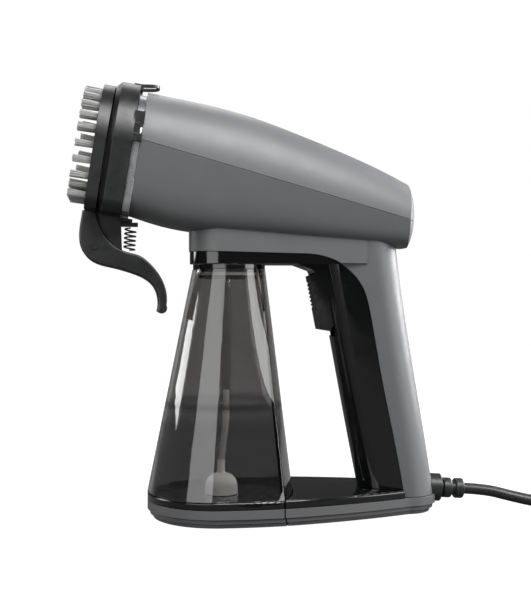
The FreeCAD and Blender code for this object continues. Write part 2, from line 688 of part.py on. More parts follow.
def trigger_parts():
    parts = {}
    body = side_plate(trigger_outline, -trigger_half, trigger_half)
    slope = (41.0 - 34.2) / (156.6 - 121.6)
    for i in range(7):
        z = 152.0 - 2.6 * i
        x = 34.2 + (156.6 - z) * slope
        body = body.cut(rod(0.75, (x - 0.1, -10, z), (x - 0.1, 10, z)))
    body = body.cut(rod(trigger_pin_r + 0.05, (trigger_pin_x, -10, trigger_pin_z),
                        (trigger_pin_x, 10, trigger_pin_z)))
    parts["trigger"] = biggest(body)
    parts["trigger_pin"] = rod(trigger_pin_r, (trigger_pin_x, -11.4, trigger_pin_z),
                               (trigger_pin_x, 11.4, trigger_pin_z))
    parts["trigger_spring"] = coil_spring((56.1, 0, trigger_spring_z), (65.9, 0, trigger_spring_z),
                                          3.0, 0.4, 5)
    return parts


def coil_spring(start, end, radius, wire_r, turns):
    """A round-wire compression spring between two points."""
    axis = Vector(*end) - Vector(*start)
    length = axis.Length - 2 * wire_r
    helix = Part.makeHelix(length / turns, length, radius)
    section = Part.Wire(Part.Circle(Vector(radius, 0, 0), Vector(0, 1, 0), wire_r).toShape())
    spring = Part.Wire(helix.Edges).makePipeShell([section], True, True)
    spring.Placement = FreeCAD.Placement(
        Vector(*start) + axis.normalize() * wire_r, FreeCAD.Rotation(Vector(0, 0, 1), axis))
    return spring


# Clip-on brush
lever_front = [(-112.6, 199.5), (-114.8, 184.0), (-113.9, 175.0), (-110.0, 168.4), (-102.8, 164.0),
               (-94.1, 161.8), (-82.1, 158.4), (-74.7, 155.4), (-68.3, 150.4), (-65.4, 144.4),
               (-65.4, 133.8)]
lever_back = [(-59.5, 137.4), (-59.6, 146.2), (-63.4, 156.1), (-69.8, 164.2), (-77.0, 169.6),
              (-84.9, 171.8), (-90.0, 174.0), (-96.5, 179.2), (-101.6, 187.0), (-104.0, 199.5)]


def lever():
    y = 10.6
    front, back = Part.BSplineCurve(), Part.BSplineCurve()
    front.interpolate([Vector(x, -y, z) for x, z in lever_front])
    back.interpolate([Vector(x, -y, z) for x, z in lever_back])
    tip = arc(front.EndPoint, Vector(-61.2, -y, 132.6), back.StartPoint)
    wire = Part.Wire([front.toShape(), tip, back.toShape(), Part.makeLine(back.EndPoint, front.StartPoint)])
    body = Part.Face(wire).extrude(Vector(0, 2 * y, 0))
    body = softened(body, 1.2, lambda e: e.Length > 60)
    body = body.cut(on_face(Part.makeBox(100, 60, 80, Vector(-50, -44.0, -20))))
    # Slot for the bracket, wide enough for the whole swing
    body = body.cut(box(-111.6, -86.4, -7.0, 7.0, 164.8, 205))
    body = body.cut(rod(pin_r + 0.05, (pivot_x, -20, pivot_z), (pivot_x, 20, pivot_z)))
    return biggest(body)


def brush_parts():
    parts = {}
    size = dict(half=36.4, top=42.4, bottom=-44.4, low_half=31.6, corner=10.0)
    nose = 3.2
    main = arched_block(0, frame_in, frame_out - nose, **size)
    outer = arched(36.4, 42.4, -44.4, 31.6, 10.0, frame_out - nose)
    tip = arched(36.4 - nose, 42.4 - nose, nose - 44.4, 31.6 - nose, 10.0 - nose * 0.6, frame_out)
    main = main.fuse(Part.makeLoft([outer, tip], True, True))
    opening = arched_block(12.4, frame_in - 1, frame_out + 1, **size)
    main = main.cut(opening)
    # Side clips over the ring: a foot, a thin neck and a head
    for b0, b1, out in ((1.5, 6.5, 35.4), (6.4, 13.1, 34.6), (13.0, 20.5, 35.4)):
        narrow = 1.6 if out < 35 else 0.0
        for side in (-1, 1):
            c0, c1 = -0.6 + narrow, frame_in + 1
            y0, y1 = sorted((side * 33.6, side * out))
            if b0 > 12:
                y0, y1 = sorted((side * 32.9, side * 34.2))
            main = main.fuse(Part.makeBox(y1 - y0, b1 - b0, c1 - c0, Vector(y0, b0, c0)))
    frame = on_face(main)
    # Loop over the top of the head, and a hook below it
    loop = box(-77.0, -63.4, -8.0, 8.0, 277.6, 279.4)
    loop = softened(loop, 6.0, lambda e: e.BoundBox.ZLength > 1.5 and e.BoundBox.XMin > -64.0)
    loop = loop.cut(box(-74.0, -65.6, -5.2, 5.2, 270, 285))
    loop = loop.fuse(on_face(Part.makeBox(16, 3.5, 6, Vector(-8, 38.7, 3.4))))
    hook = on_face(Part.makeBox(16, 2.2, 10.0, Vector(-8, -46.6, -3.0)))
    hook = hook.fuse(on_face(Part.makeBox(16, 3.0, 4.0, Vector(-8, -46.6, frame_in - 1.0))))
    bracket = side_plate([(-103.4, 200.0), (-88.6, 197.4), (-87.8, 173.5), (-93.0, 169.6),
                          (pivot_x + 1.5, pivot_z - 6.2), (pivot_x - 6.0, pivot_z + 1.5),
                          (-108.0, 184.0)], -6.5, 6.5)
    bracket = bracket.fuse(rod(6.4, (pivot_x, -6.5, pivot_z), (pivot_x, 6.5, pivot_z)))
    bracket = bracket.fuse(box(-88.4, -77.6, -5.0, 5.0, 188.6, 190.8))
    bracket = bracket.cut(rod(pin_r + 0.05, (pivot_x, -20, pivot_z), (pivot_x, 20, pivot_z)))
    bracket = bracket.cut(on_face(Part.makeBox(60, 60, 20, Vector(-30, -60, frame_out))).common(
        box(-140, 0, -40, 40, 193.0, 260)))
    frame = fused([frame, loop, hook, bracket])
    parts["brush_frame"] = biggest(frame)
    parts["pivot_pin"] = rod(pin_r, (pivot_x, -11.2, pivot_z), (pivot_x, 11.2, pivot_z))
    parts["lever_spring"] = coil_spring((-82.2, 0, 187.9), (-83.2, 0, 172.6), 3.5, 0.55, 5)
    jaw_size = dict(half=33.4, top=38.8, bottom=-43.8, low_half=29.4, corner=9.0)
    jaw = arched_block(0, jaw_in, jaw_out, **jaw_size)
    jaw = jaw.cut(jaw_window())
    for a, b in tuft_spots():
        jaw = jaw.cut(rod(2.35, (a, b, jaw_out - 3.0), (a, b, jaw_out + 1)))
    parts["jaw_plate"] = on_face(jaw)
    tufts = [rod(2.3, (a, b, jaw_out - 3.0), (a, b, jaw_out + bristle_length)) for a, b in tuft_spots()]
    parts["bristles"] = Part.makeCompound([on_face(t) for t in tufts])
    parts["clip_lever"] = lever()
    return parts


def jaw_window():
    """The opening that steam comes through, round at the top."""
    half, high, low = 20.0, 12.0, -21.0
    arch = arc(Vector(half, high - 8, jaw_in - 1), Vector(0, high, jaw_in - 1),
               Vector(-half, high - 8, jaw_in - 1))
    corners = [Vector(-half, high - 8, jaw_in - 1), Vector(-half, low, jaw_in - 1),
               Vector(half, low, jaw_in - 1), Vector(half, high - 8, jaw_in - 1)]
    wire = Part.Wire([arch, Part.makePolygon(corners)])
    return Part.Face(wire).extrude(Vector(0, 0, jaw_out - jaw_in + 2))


def tuft_spots():
    """Dense tufts over the arch and along the bottom, single tufts down each side."""
    spots = []
    for reach, count in ((27.2, 11), (20.6, 8)):
        for i in range(count + 1):
            angle = math.pi * i / count
            spots.append((reach * math.cos(angle), 6.0 + reach * 1.02 * math.sin(angle)))
    for row in range(3):
        for side in (-1, 1):
            spots.append((side * (26.4 - 0.4 * row), -4.4 - 9.8 * row))
    for row in range(2):
        for i in range(9):
            spots.append((-22.4 + 5.6 * i, -29.2 - 6.2 * row))
    return spots


# Cord, coil, tie and plug
cord_route = [cord_exit, (157.0, 0.0, 12.28), (173.0, -3.6, 8.2), (191.0, -9.0, 4.4), (213.0, -14.4, 3.8),
              (235.0, -17.9, 3.9), (coil_x - 4.0, coil_y - coil_r - cord_r - 0.2, 4.6)]


def cord_parts():
    parts = {}
    for here, start, end, radius in route_arcs(cord_route):
        print("cord arc radius", round(radius, 1))
    path = route_wire(cord_route)
    tube = tube_along(cord_route, cord_r)
    expected = math.pi * cord_r ** 2 * path.Length
    print("cord tube length", round(path.Length), "volume ratio", round(tube.Volume / expected, 4))
    parts["power_cord"] = tube
    d = 2 * cord_r
    half_band = coil_columns * cord_r
    high = coil_lift + coil_layers * d
    centre = Vector(coil_x, coil_y, coil_lift)
    ring = Part.makeCylinder(coil_r + half_band, coil_layers * d, centre)
    ring = ring.cut(Part.makeCylinder(coil_r - half_band, coil_layers * d + 2, centre - Vector(0, 0, 1)))
    parts["cord_coil"] = softened(ring, 2.5, lambda e: True)
    r0, r1 = coil_r - half_band - 1.4, coil_r + half_band + 0.9
    tie = box(-5, 5, r0, r1, 0, high + 0.9).cut(box(-6, 6, r0 + 0.8, r1 - 0.8, 0.8, high + 0.1))
    tie.translate(Vector(coil_x, coil_y, 0))
    parts["cord_tie"] = tie
    # Moulded two-pin plug lying across the coil
    x, y, z = coil_x + plug_x, coil_y + plug_y, high + plug_half_z + 0.3
    back, front = x - plug_half_x, x + plug_half_x
    block = box(back, front, y - plug_half_y, y + plug_half_y, z - plug_half_z, z + plug_half_z)
    block = softened(block, 3.0, lambda e: True)
    tail = Part.makeCone(5.2, 7.2, plug_tail, Vector(back - plug_tail, y, z), Vector(1, 0, 0))
    parts["plug_body"] = block.fuse(tail).removeSplitter()
    pins = []
    for side in (-plug_pin_y, plug_pin_y):
        pin = rod(plug_pin_r, (front, y + side, z), (front + plug_pin_length, y + side, z))
        pins.append(softened(pin, 1.4, lambda e: e.BoundBox.XMin > front + 0.9 * plug_pin_length))
    parts["plug_pins"] = Part.makeCompound(pins)
    return parts


def fasteners():
    screws = [pan_screw(1.35, 2.6, (x, 10.4, z), (x, -10.0, z), 2.0) for x, z in boss_spots]
    low = [pan_screw(1.25, 2.9, (x, y, base_clear), (x, y, deck_z - wall - 2), 1.1)
           for x, y in base_screw_spots]
    feet = [rod(foot_r, (x, y, 0), (x, y, 1.9)) for x, y in rear_feet_spots]
    return {"housing_screws": Part.makeCompound(screws), "base_screws": Part.makeCompound(low),
            "rear_feet": Part.makeCompound(feet)}


def main():
    left, right = housing()
    nodes = {"housing_left": left, "housing_right": right, "top_cover": top_cover(),
             "inner_frame": inner_frame()}
    nodes["base_deck"], nodes["base_skirt"], nodes["base_plate"] = base_parts()
    nodes["strain_relief"] = relief()
    for group in (tank_parts, steam_parts, inner_parts, trigger_parts, brush_parts, cord_parts, fasteners):
        nodes.update(group())
    for name, shape in nodes.items():
        save(name, shape)


main()
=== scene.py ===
import math
import random
import bpy
import bmesh
from mathutils import Matrix, Vector


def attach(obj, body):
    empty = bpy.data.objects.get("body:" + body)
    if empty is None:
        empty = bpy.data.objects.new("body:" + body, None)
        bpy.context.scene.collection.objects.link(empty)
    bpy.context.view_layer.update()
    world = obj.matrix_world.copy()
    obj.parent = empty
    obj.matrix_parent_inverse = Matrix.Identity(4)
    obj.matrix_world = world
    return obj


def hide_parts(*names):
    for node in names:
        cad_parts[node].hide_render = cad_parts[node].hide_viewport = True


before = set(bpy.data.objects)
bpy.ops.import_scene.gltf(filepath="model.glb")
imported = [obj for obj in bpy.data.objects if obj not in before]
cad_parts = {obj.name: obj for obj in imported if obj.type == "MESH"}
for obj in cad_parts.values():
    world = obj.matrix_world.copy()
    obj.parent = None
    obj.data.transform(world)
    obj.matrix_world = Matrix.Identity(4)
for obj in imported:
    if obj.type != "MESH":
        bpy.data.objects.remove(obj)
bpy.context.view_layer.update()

mm = 0.001
random.seed(41)

# Handheld garment steamer. Metres, +Z up, the steam head points along -X.


def point(x, y, z):
    return Vector((x * mm, y * mm, z * mm))


def deselectAll():
    if bpy.context.object and bpy.context.object.mode == "EDIT":
        bpy.ops.object.mode_set(mode="OBJECT")
    bpy.ops.object.select_all(action="DESELECT")


def settle(piece):
    # leave a finished piece at the origin, with its place in its mesh
    deselectAll()
    piece.select_set(True)
    bpy.context.view_layer.objects.active = piece
    bpy.ops.object.transform_apply(location=True, rotation=True, scale=True)


def dress(piece, material):
    piece.data.materials.clear()
    piece.data.materials.append(material)


# Camera: level, a little in front of square-on
cameraPlace = {
    "target": (6.0, 0.0, 141.0),     # mm
    "distance": 680.0,
    "turn": 8.0,                     # degrees towards the steam head
    "mmAcross": 0.66 * 600}          # what the long side takes in at the target


def makeCamera():
    spec = cameraPlace
    data = bpy.data.cameras.new("studioCamera")
    camera = bpy.data.objects.new("studioCamera", data)
    bpy.context.scene.collection.objects.link(camera)
    turn = math.radians(spec["turn"])
    x, y, z = spec["target"]
    camera.location = point(x - spec["distance"] * math.sin(turn), y - spec["distance"] * math.cos(turn), z)
    camera.rotation_euler = (math.radians(90), 0, -turn)
    data.sensor_fit = "AUTO"
    data.sensor_width = 36.0
    data.lens = data.sensor_width * spec["distance"] / spec["mmAcross"]
    data.clip_start, data.clip_end = 0.05, 50.0
    bpy.context.scene.camera = camera


makeCamera()
print("camera placed")


# Mains lead: out of the relief, down to the floor, and wound into a tied coil with the plug on top
lead = {
    "radius": 3.75,
    "route": [(141.0, 0.0, 13.4), (157.0, 0.0, 12.28), (173.0, -3.6, 8.2), (191.0, -9.0, 4.4),
              (213.0, -14.4, 3.8), (235.0, -17.9, 3.9), (256.0, -18.15, 4.6)],
    "middle": (260.0, 30.8),
    "slots": [(48.75, 4.65), (41.25, 4.65), (41.25, 12.15), (48.75, 12.15), (48.75, 19.65),
              (41.25, 19.65), (44.6, 27.3)],      # radius and height of each turn, in winding order
    "firstAngle": -94.7,
    "firstShift": 202.0,             # degrees at which the first turn moves to the next slot
    "shiftEvery": 340.0,
    "shiftOver": 60.0,
    "lastAngle": 1972.0,
    "pointsPerTurn": 16,
    "tailPoint": (-16.0, -30.3, 31.7),   # where the lead goes into the plug, from the middle
    "tailBend": 31.0,
    "tailSpread": 1.02,              # the spline runs inside its points here too
    "tailRise": 1.1,
    "tailPoints": 5,
    "tailEnds": (-2.0, 5.0)}         # last two points, before and beyond the plug's tail


def easeStep(value):
    value = min(max(value, 0.0), 1.0)
    return value * value * (3 - 2 * value)


def coilPoints():
    spec = lead
    step = 360.0 / spec["pointsPerTurn"]
    outward = 1 / math.cos(math.pi / spec["pointsPerTurn"])    # the spline runs inside its points
    mx, my = spec["middle"]
    found = []
    angle = spec["firstAngle"] + step
    while angle < spec["lastAngle"]:
        radius, height = spec["slots"][0]
        for number, (nextRadius, nextHeight) in enumerate(spec["slots"][1:]):
            begins = spec["firstShift"] + spec["shiftEvery"] * number
            share = easeStep((angle - begins) / spec["shiftOver"])
            radius += (nextRadius - spec["slots"][number][0]) * share
            height += (nextHeight - spec["slots"][number][1]) * share
        turn = math.radians(angle)
        radius *= outward
        found.append((mx + radius * math.cos(turn), my + radius * math.sin(turn), height))
        angle += step
    return found


def tailPoints():
    # a quarter turn in the air from the top of the coil into the plug's tail
    spec = lead
    tx, ty, tz = spec["tailPoint"]
    mx, my = spec["middle"]
    cx, cy = mx + tx, my + ty + spec["tailBend"]
    top = spec["slots"][-1][1]
    bend = spec["tailBend"] * spec["tailSpread"]
    count = spec["tailPoints"]
    found = []
    for i in range(count):
        share = i / (count - 1)
        turn = math.radians(180 + 90 * share)
        found.append((cx + bend * math.cos(turn), cy + bend * math.sin(turn),
                      top + (tz - top) * easeStep(share * spec["tailRise"])))
    before, beyond = spec["tailEnds"]
    found[-1] = (mx + tx + before, my + ty, tz)
    found.append((mx + tx + beyond, my + ty, tz))
    return found


def makeLead():
    spec = lead
    places = spec["route"] + coilPoints() + tailPoints()
    data = bpy.data.curves.new("mainsLead", "CURVE")
    data.dimensions = "3D"
    data.bevel_depth = 1.0               # each knot holds the lead's own radius
    data.bevel_resolution = 4
    data.resolution_u = 6
    data.use_fill_caps = True
    spline = data.splines.new("NURBS")
    spline.points.add(len(places) - 1)
    for knot, place in zip(spline.points, places):
        knot.co = (*point(*place), 1)
        knot.radius = spec["radius"] * mm
    spline.order_u = 3
    spline.use_endpoint_u = True
    piece = bpy.data.objects.new("mains_lead", data)
    bpy.context.scene.collection.objects.link(piece)
    return piece


mainsLead = makeLead()
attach(mainsLead, "body")
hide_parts("power_cord", "cord_coil")
print("lead laid")


# Materials
def linearColour(hexText):
    parts = [int(hexText[i:i + 2], 16) / 255 for i in (1, 3, 5)]
    return tuple(c / 12.92 if c <= 0.04045 else ((c + 0.055) / 1.055) ** 2.4 for c in parts) + (1.0,)


def addNode(tree, kind, settings=None, links=None):
    node = tree.nodes.new(kind)
    for name, value in (settings or {}).items():
        if isinstance(name, int) or name in node.inputs:
            node.inputs[name].default_value = value
        else:
            setattr(node, name, value)
    for name, source in (links or {}).items():
        tree.links.new(source, node.inputs[name])
    return node


def perMetre(sizeInMm):
    return 1 / (sizeInMm * mm)


def newMaterial(name):
    material = bpy.data.materials.new(name)
    material.use_nodes = True
    material.node_tree.nodes.clear()
    return material, material.node_tree


def closeMaterial(tree, shader):
    addNode(tree, "ShaderNodeOutputMaterial", {}, {"Surface": shader.outputs[0]})


def seenDirectly(tree):
    # 1 for what the eye meets, straight or through clear material, and 0 for light that bounces
    path = addNode(tree, "ShaderNodeLightPath")
    seen = addNode(tree, "ShaderNodeMath", {"operation": "MAXIMUM"},
                   {0: path.outputs["Is Camera Ray"], 1: path.outputs["Is Transmission Ray"]})
    return seen.outputs[0]


def mouldedSurface(spec):
    # colour drifts slowly over the part, fine grain changes both gloss and height, corners catch light
    material, tree = newMaterial(spec["name"])
    place = addNode(tree, "ShaderNodeTexCoord").outputs["Object"]
    drift = addNode(tree, "ShaderNodeTexNoise",
                    {"Scale": perMetre(spec["driftMm"]), "Detail": 3.0, "Roughness": 0.55}, {"Vector": place})
    tone = addNode(tree, "ShaderNodeMix", {"data_type": "RGBA", 6: linearColour(spec["colour"]),
                                           7: linearColour(spec["shade"])}, {0: drift.outputs["Fac"]})
    grain = addNode(tree, "ShaderNodeTexNoise",
                    {"Scale": perMetre(spec["grainMm"]), "Detail": 4.0, "Roughness": 0.6}, {"Vector": place})
    rub = addNode(tree, "ShaderNodeTexNoise",
                  {"Scale": perMetre(spec["rubMm"]), "Detail": 5.0, "Roughness": 0.7}, {"Vector": place})
    both = addNode(tree, "ShaderNodeMath", {"operation": "MULTIPLY"},
                   {0: grain.outputs["Fac"], 1: rub.outputs["Fac"]})
    gloss = addNode(tree, "ShaderNodeMapRange", {"From Min": 0.1, "From Max": 0.42,
                                                 "To Min": spec["smooth"], "To Max": spec["rough"]},
                    {"Value": both.outputs[0]})
    corner = addNode(tree, "ShaderNodeBevel", {"samples": 4, "Radius": spec["cornerMm"] * mm})
    bump = addNode(tree, "ShaderNodeBump", {"Strength": spec["bump"], "Distance": spec["grainDeepMm"] * mm},
                   {"Height": grain.outputs["Fac"], "Normal": corner.outputs[0]})
    settings = {"Metallic": spec.get("metal", 0.0), "Coat Weight": spec.get("coat", 0.0),
                "Coat Roughness": 0.03}
    if "ior" in spec:
        settings["IOR"] = spec["ior"]
    shader = addNode(tree, "ShaderNodeBsdfPrincipled", settings,
                     {"Base Color": tone.outputs[2], "Roughness": gloss.outputs[0],
                      "Normal": bump.outputs[0]})
    closeMaterial(tree, shader)
    return material


# Spark-eroded ABS: a fine matt grain, really about 0.15 mm, drawn at 0.9 mm so that it shows
greyAbs = {"name": "greySparkAbs", "colour": "#545557", "shade": "#4e4f51", "driftMm": 60, "grainMm": 0.9,
           "rubMm": 14, "smooth": 0.40, "rough": 0.56, "bump": 0.35, "grainDeepMm": 0.05, "cornerMm": 0.5,
           "ior": 1.5}
# The crown of the head is the same grey ABS, painted a touch lighter: painted light standing in for the light
# that falls on its top
paintedLightCrownAbs = dict(greyAbs, name="crownSparkAbsPaintedLighter", colour="#616264", shade="#5b5c5e", smooth=0.36, rough=0.5)
# Polished ABS: mirror-like black that shows soft smears where it is held
polishedAbs = {"name": "polishedBlackAbs", "colour": "#060707", "shade": "#090a0a", "driftMm": 35,
               "grainMm": 2.4, "rubMm": 18, "smooth": 0.06, "rough": 0.17, "bump": 0.04, "grainDeepMm": 0.02,
               "cornerMm": 0.5, "ior": 1.5, "coat": 0.25}
# Glass-filled nylon: satin black with a dry grain
satinNylon = {"name": "satinBlackNylon", "colour": "#0b0c0c", "shade": "#101112", "driftMm": 20,
              "grainMm": 0.7, "rubMm": 9, "smooth": 0.27, "rough": 0.48, "bump": 0.3, "grainDeepMm": 0.04,
              "cornerMm": 0.5, "ior": 1.53}
# Nylon filament: pale grey, slightly waxy
filamentNylon = {"name": "greyFilamentNylon", "colour": "#b3b3b1", "shade": "#8b8c8b", "driftMm": 5,
                 "grainMm": 0.8, "rubMm": 4, "smooth": 0.34, "rough": 0.5, "bump": 0.1, "grainDeepMm": 0.02,
                 "cornerMm": 0.05, "ior": 1.53}
# Anodised aluminium: bead-blasted, satin silver
anodised = {"name": "anodisedAluminium", "colour": "#d4d6d8", "shade": "#c6c8cb", "driftMm": 25,
            "grainMm": 0.5, "rubMm": 8, "smooth": 0.24, "rough": 0.36, "bump": 0.15, "grainDeepMm": 0.02,
            "cornerMm": 0.4, "metal": 1.0}
# Die-cast alloy: dull, with a coarse cast skin
castAlloy = {"name": "castAlloy", "colour": "#9b9d9e", "shade": "#86888a", "driftMm": 18, "grainMm": 1.2,
             "rubMm": 7, "smooth": 0.42, "rough": 0.62, "bump": 0.5, "grainDeepMm": 0.1, "cornerMm": 0.4,
             "metal": 1.0}
# Silicone rubber: milky, soft highlights
silicone = {"name": "siliconeRubber", "colour": "#b9b7b2", "shade": "#aeaba6", "driftMm": 12, "grainMm": 1.0,
            "rubMm": 6, "smooth": 0.42, "rough": 0.55, "bump": 0.1, "grainDeepMm": 0.02, "cornerMm": 0.2,
            "ior": 1.41}
# Acetal: off-white, waxy
acetal = {"name": "whiteAcetal", "colour": "#f4f0e8", "shade": "#ece7dd", "driftMm": 9, "grainMm": 0.8,
          "rubMm": 5, "smooth": 0.3, "rough": 0.42, "bump": 0.1, "grainDeepMm": 0.02, "cornerMm": 0.3,
          "ior": 1.48}
# Soft PVC: dark grey and a little greasy, as on a mains lead
softPvc = {"name": "softBlackPvc", "colour": "#141516", "shade": "#1a1b1d", "driftMm": 22, "grainMm": 0.9,
           "rubMm": 11, "smooth": 0.3, "rough": 0.46, "bump": 0.2, "grainDeepMm": 0.03, "cornerMm": 0.4,
           "ior": 1.54}
# Nickel plate on brass pins
nickelPlate = {"name": "nickelPlate", "colour": "#cfc9bd", "shade": "#c4bdb0", "driftMm": 6, "grainMm": 0.6,
               "rubMm": 4, "smooth": 0.12, "rough": 0.24, "bump": 0.05, "grainDeepMm": 0.01, "cornerMm": 0.2,
               "metal": 1.0}
# Zinc-plated steel: pins and screws
zincSteel = dict(nickelPlate, name="zincPlatedSteel", colour="#b4b7ba", shade="#a5a8ab", smooth=0.22,
                 rough=0.36)
# Phosphated spring steel: near black with a metal gleam
springSteel = dict(nickelPlate, name="phosphatedSpringSteel", colour="#4a4b4d", shade="#3d3e40", smooth=0.28,
                   rough=0.42)
# Moulded nylon of the inner pieces
innerNylon = dict(satinNylon, name="innerBlackNylon", colour="#1d1e20", shade="#242528")
# Glass-epoxy laminate with green solder mask
laminate = dict(satinNylon, name="greenLaminate", colour="#1c5a31", shade="#17502a", smooth=0.2, rough=0.34)

# Smoked copolyester: clear and neutral grey, darker below a soft band at the moulded level mark
smokedClear = {
    "name": "smokedCopolyester", "colour": "#8a8988", "lowColour": "#6c6c6d", "markColour": "#5c5c5d",
    "markZ": 73.7, "markTall": 5.0,  # mm: height of the mark, and how far it fades to either side
    "fade": (60.0, 76.0),            # mm: heights between which the lower colour turns into the upper one
    "rough": 0.02, "ior": 1.57, "waveMm": 55, "waveDeepMm": 0.08,
    "lampLight": 0.9}                # share of a lamp's light that gets through a wall


def clearSmoke(spec):
    material, tree = newMaterial(spec["name"])
    coords = addNode(tree, "ShaderNodeTexCoord").outputs["Object"]
    height = addNode(tree, "ShaderNodeSeparateXYZ", {}, {"Vector": coords}).outputs["Z"]
    offset = addNode(tree, "ShaderNodeMath", {"operation": "SUBTRACT", 1: spec["markZ"] * mm}, {0: height})
    away = addNode(tree, "ShaderNodeMath", {"operation": "ABSOLUTE"}, {0: offset.outputs[0]})
    onMark = addNode(tree, "ShaderNodeMapRange",
                     {"interpolation_type": "SMOOTHSTEP", "From Min": 0.0, "From Max": spec["markTall"] * mm,
                      "To Min": 1.0, "To Max": 0.0}, {"Value": away.outputs[0]})
    low, high = (z * mm for z in spec["fade"])
    rise = addNode(tree, "ShaderNodeMapRange",
                   {"interpolation_type": "SMOOTHSTEP", "From Min": low, "From Max": high}, {"Value": height})
    body = addNode(tree, "ShaderNodeMix", {"data_type": "RGBA", 6: linearColour(spec["lowColour"]),
                                           7: linearColour(spec["colour"])}, {0: rise.outputs[0]})
    tone = addNode(tree, "ShaderNodeMix", {"data_type": "RGBA", 7: linearColour(spec["markColour"])},
                   {0: onMark.outputs[0], 6: body.outputs[2]})
    wave = addNode(tree, "ShaderNodeTexNoise", {"Scale": perMetre(spec["waveMm"]), "Detail": 1.0},
                   {"Vector": coords})
    bump = addNode(tree, "ShaderNodeBump", {"Strength": 0.3, "Distance": spec["waveDeepMm"] * mm},
                   {"Height": wave.outputs["Fac"]})
    clear = addNode(tree, "ShaderNodeBsdfPrincipled",
                    {"Transmission Weight": 1.0, "Roughness": spec["rough"], "IOR": spec["ior"]},
                    {"Base Color": tone.outputs[2], "Normal": bump.outputs[0]})
    # lamps shine through, so that what stands inside is lit
    share = spec["lampLight"]
    lamp = addNode(tree, "ShaderNodeBsdfTransparent", {"Color": (share, share, share, 1)})
    path = addNode(tree, "ShaderNodeLightPath")
    shader = addNode(tree, "ShaderNodeMixShader", {}, {0: path.outputs["Is Shadow Ray"], 1: clear.outputs[0],
                                                       2: lamp.outputs[0]})
    closeMaterial(tree, shader)
    return material


clearPolymer = dict(smokedClear, name="clearPolymer", colour="#d4d4d2", lowColour="#d4d4d2",
                    markColour="#d4d4d2")

pvcFinish = mouldedSurface(softPvc)
springFinish = mouldedSurface(springSteel)
filamentFinish = mouldedSurface(filamentNylon)
finishes = {
    "housing_left housing_right base_skirt tank_skirt": mouldedSurface(greyAbs),
    # the top cover takes the lighter copy of the grey ABS: painted light from above
    "top_cover": mouldedSurface(paintedLightCrownAbs),
    "inner_frame base_deck tank_rim tank_cap": mouldedSurface(polishedAbs),
    "brush_frame jaw_plate clip_lever trigger": mouldedSurface(satinNylon),
    "steam_ring steam_plate": mouldedSurface(anodised),
    "boiler_body boiler_cover": mouldedSurface(castAlloy),
    "tank_shell": clearSmoke(smokedClear),
    "suction_tube": clearSmoke(clearPolymer),
    "steam_seal dock_o_ring pump_inlet_hose pump_outlet_hose suction_hose tank_cap_seal pump_mounts":
        mouldedSurface(silicone),
    "filter_weight": mouldedSurface(acetal),
    "strain_relief plug_body tank_feet rear_feet cord_tie": pvcFinish,
    "plug_pins": mouldedSurface(nickelPlate),
    "trigger_pin housing_screws base_screws heating_element thermal_fuse": mouldedSurface(zincSteel),
    "pivot_pin": springFinish,
    "water_pump trigger_switch terminal_block cord_clamp thermostat base_plate outlet_valve dock_nozzle":
        mouldedSurface(innerNylon),
    "control_board": mouldedSurface(laminate)}
for names, material in finishes.items():
    for name in names.split():
        dress(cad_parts[name], material)
dress(mainsLead, pvcFinish)
print("materials made")


# CAD nodes come as loose triangles: joining them in a modifier lets curved faces shade smoothly
smoothing = {"joinMm": 0.002, "creaseAngle": 32}


def smoothNode(node):
    deselectAll()
    node.data.shade_smooth()
    joined = node.modifiers.new("joined", "WELD")
    joined.merge_threshold = smoothing["joinMm"] * mm
    creased = node.modifiers.new("creased", "EDGE_SPLIT")
    creased.split_angle = math.radians(smoothing["creaseAngle"])
    creased.use_edge_sharp = False


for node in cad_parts.values():
    smoothNode(node)
print("nodes smoothed")


# Bristles: 45 bundles of fine filaments that fan out towards their tips
faceTilt = math.radians(9.0)
facePlace = Matrix((
    (0, math.sin(faceTilt), -math.cos(faceTilt), -77.1 * mm),
    (-1, 0, 0, 0),
    (0, math.cos(faceTilt), math.sin(faceTilt), 237.0 * mm),
    (0, 0, 0, 1)))                   # a along -Y, b up the steam face, c out of it
bristle = {
    "root": 24.9, "tip": 39.7,       # mm out of the steam face
    "filament": 0.24,                # radius, drawn about twice as coarse as real nylon filament
    "rings": (0.0, 0.62, 1.2, 1.75),     # filaments stand in rings round the middle of each tuft
    "fan": 1.22,                     # how much wider the tuft is at its tip
    "jog": 0.3,                      # how far a tip wanders sideways
    "uneven": 0.7,                   # how much shorter the shortest filament is
    "arcs": ((27.2, 11), (20.6, 8)),     # radius and number of steps of each arc of tufts
    "arcMiddle": 6.0, "arcStretch": 1.02,
    "sides": {"rows": 3, "a": 26.4, "b": -4.4, "aStep": 0.4, "bStep": 9.8},
    "foot": {"rows": 2, "across": 9, "a": -22.4, "b": -29.2, "aStep": 5.6, "bStep": 6.2}}


def tuftSpots():
    # two arcs over the window, a row down each side of it and two rows below it
    spots = []
    for reach, count in bristle["arcs"]:
        for i in range(count + 1):
            angle = math.pi * i / count
            rise = reach * bristle["arcStretch"] * math.sin(angle)
            spots.append((reach * math.cos(angle), bristle["arcMiddle"] + rise))
    spec = bristle["sides"]
    for row in range(spec["rows"]):
        for side in (-1, 1):
            spots.append((side * (spec["a"] - spec["aStep"] * row), spec["b"] - spec["bStep"] * row))
    spec = bristle["foot"]
    for row in range(spec["rows"]):
        for i in range(spec["across"]):
            spots.append((spec["a"] + spec["aStep"] * i, spec["b"] - spec["bStep"] * row))
    return spots


